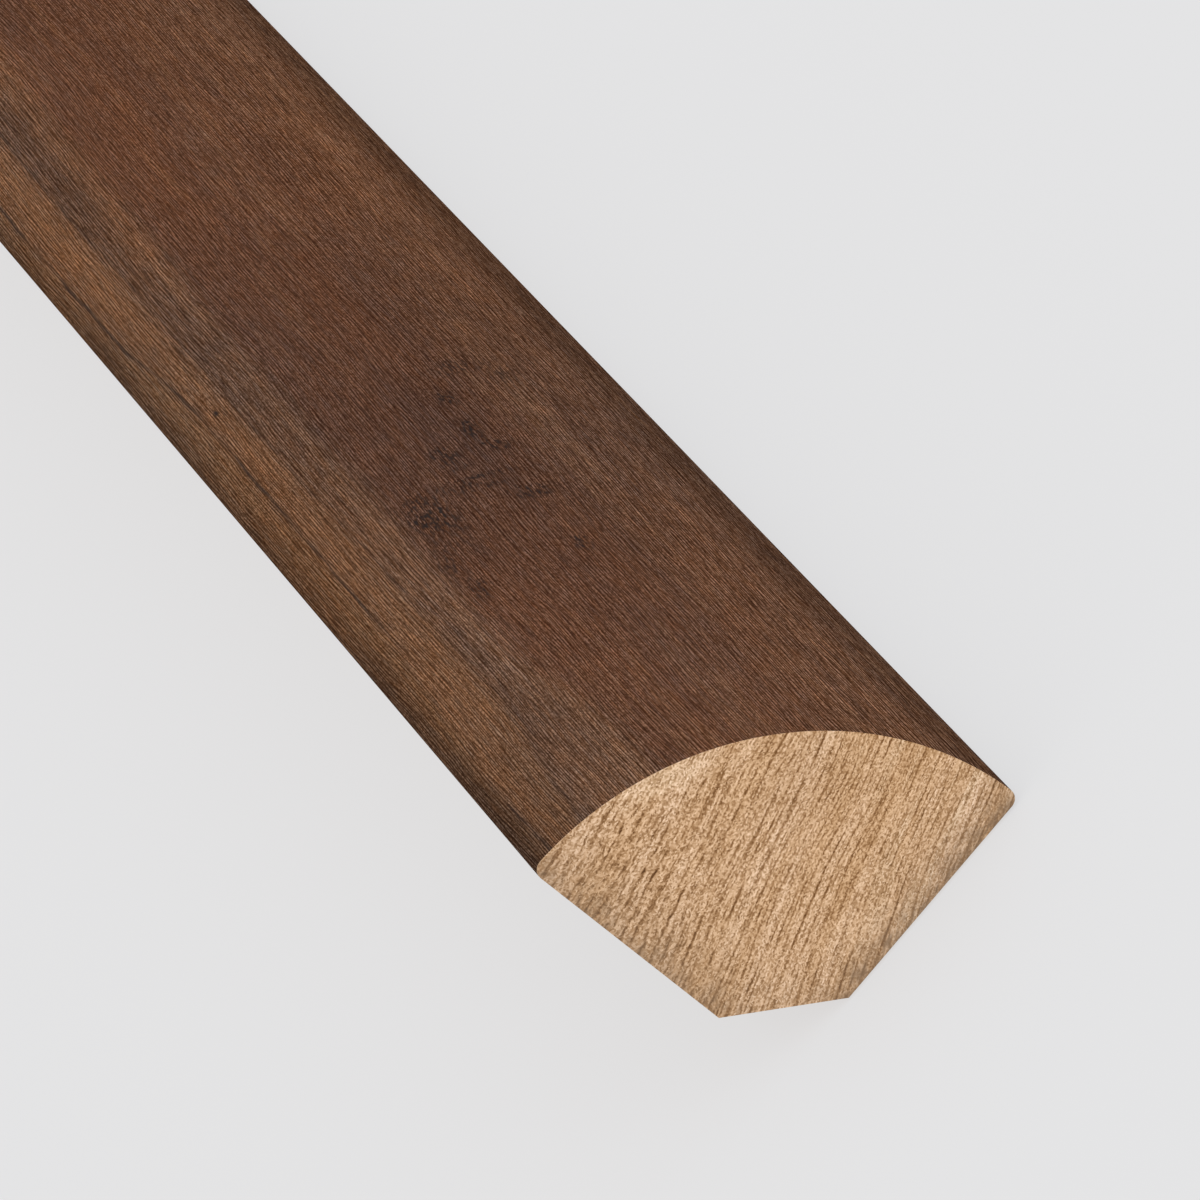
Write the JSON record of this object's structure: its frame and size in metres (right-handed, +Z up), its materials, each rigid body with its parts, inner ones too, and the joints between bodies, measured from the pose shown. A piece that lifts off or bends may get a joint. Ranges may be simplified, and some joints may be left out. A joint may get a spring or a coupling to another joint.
{
  "type": "quarter round moulding",
  "caption": "Length of wooden quarter round moulding: quarter-circle section with eased toes and a flattened back corner, dark stained round face, raw back and ends.",
  "frame": {"origin": "on the floor, under the middle of the section's box and of the length", "axes": "+X along the length, +Y towards the wall, +Z up; the floor leg lies on Z = 0, the wall leg faces +Y and the round face looks towards -Y and up"},
  "size_m": [1.9812, 0.019, 0.019],
  "materials": {
    "stained_wood": "matt walnut-brown stain on the round face; raw tan wood on the legs, the back flat and the sawn ends"
  },
  "bodies": {
    "root": {"quarter_round_moulding": "stained_wood"}
  },
  "joints": []
}
